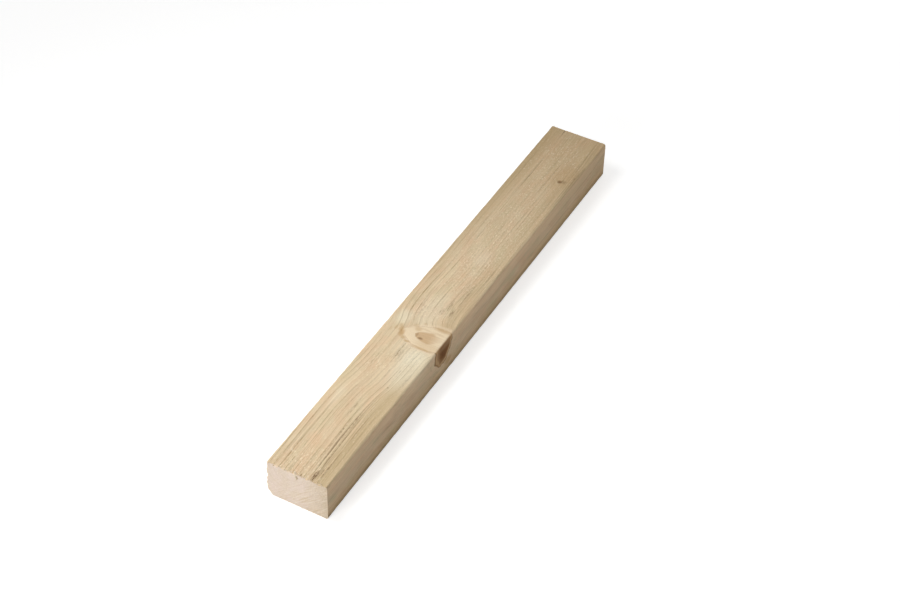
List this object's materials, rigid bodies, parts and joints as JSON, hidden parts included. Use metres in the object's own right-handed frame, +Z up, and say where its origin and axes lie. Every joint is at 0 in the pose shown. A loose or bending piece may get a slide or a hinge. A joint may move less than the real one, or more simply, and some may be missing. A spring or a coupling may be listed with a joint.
{
  "type": "timber lumber plank",
  "caption": "Short length of planed softwood timber with eased long edges, square sawn ends, a split corner and a drying check.",
  "frame": {"origin": "middle of the bottom face, on the floor", "axes": "+X along the grain towards the far end, +Y across the width to the left edge, +Z up through the thickness"},
  "size_m": [0.51, 0.058, 0.038],
  "materials": {
    "planed_softwood": "matte"
  },
  "bodies": {
    "root": {"plank": "planed_softwood"}
  },
  "joints": []
}
